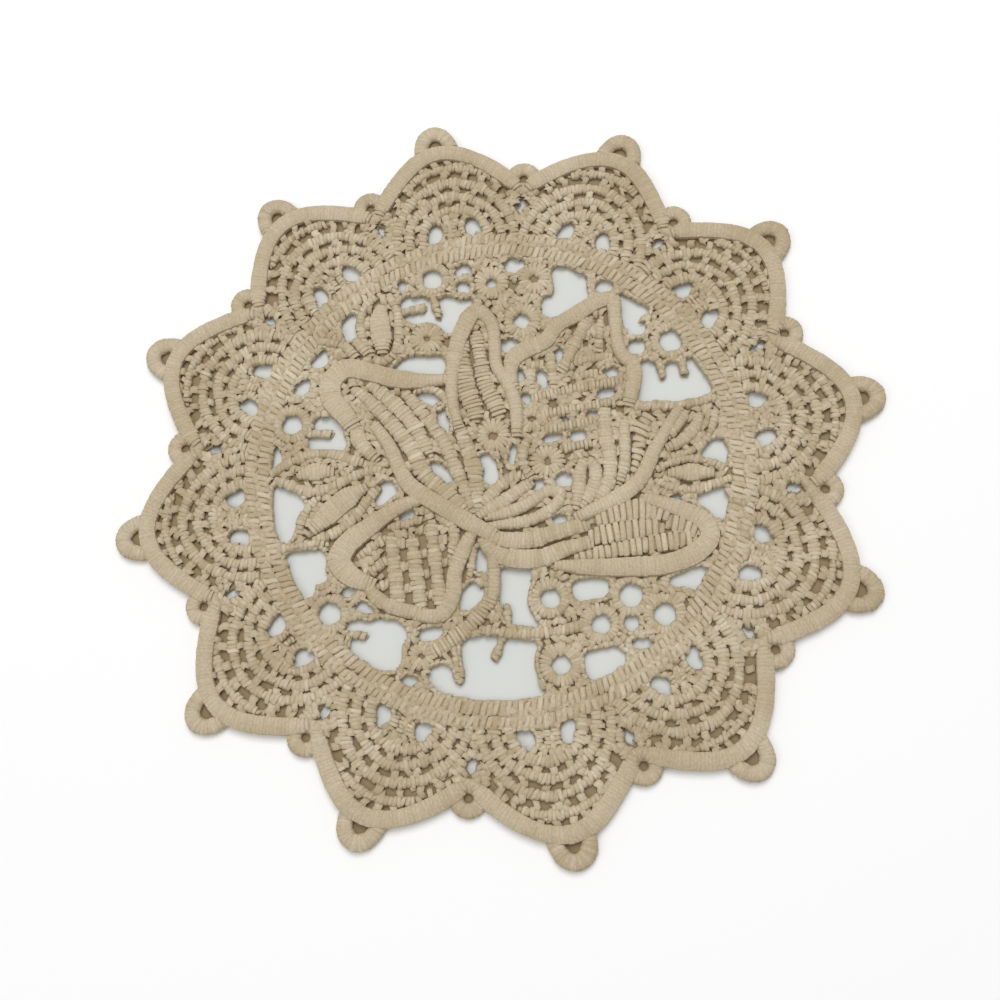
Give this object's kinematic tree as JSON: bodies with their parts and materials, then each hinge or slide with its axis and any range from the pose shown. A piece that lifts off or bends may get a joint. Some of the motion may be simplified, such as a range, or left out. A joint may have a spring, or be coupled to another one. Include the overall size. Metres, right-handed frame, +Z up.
{
  "type": "lace coaster",
  "caption": "Round stitched lace mat for under a cup, with a scalloped edge, a ring and an openwork flower in the middle.",
  "frame": {"origin": "middle of the coaster, on the surface that it lies on", "axes": "+Z up out of the face, +X through the tip of one scallop"},
  "size_m": [0.11, 0.11, 0.0019],
  "materials": {
    "thread": "beige embroidery thread with a soft sheen"
  },
  "bodies": {
    "root": {"lace": "thread"}
  },
  "joints": []
}
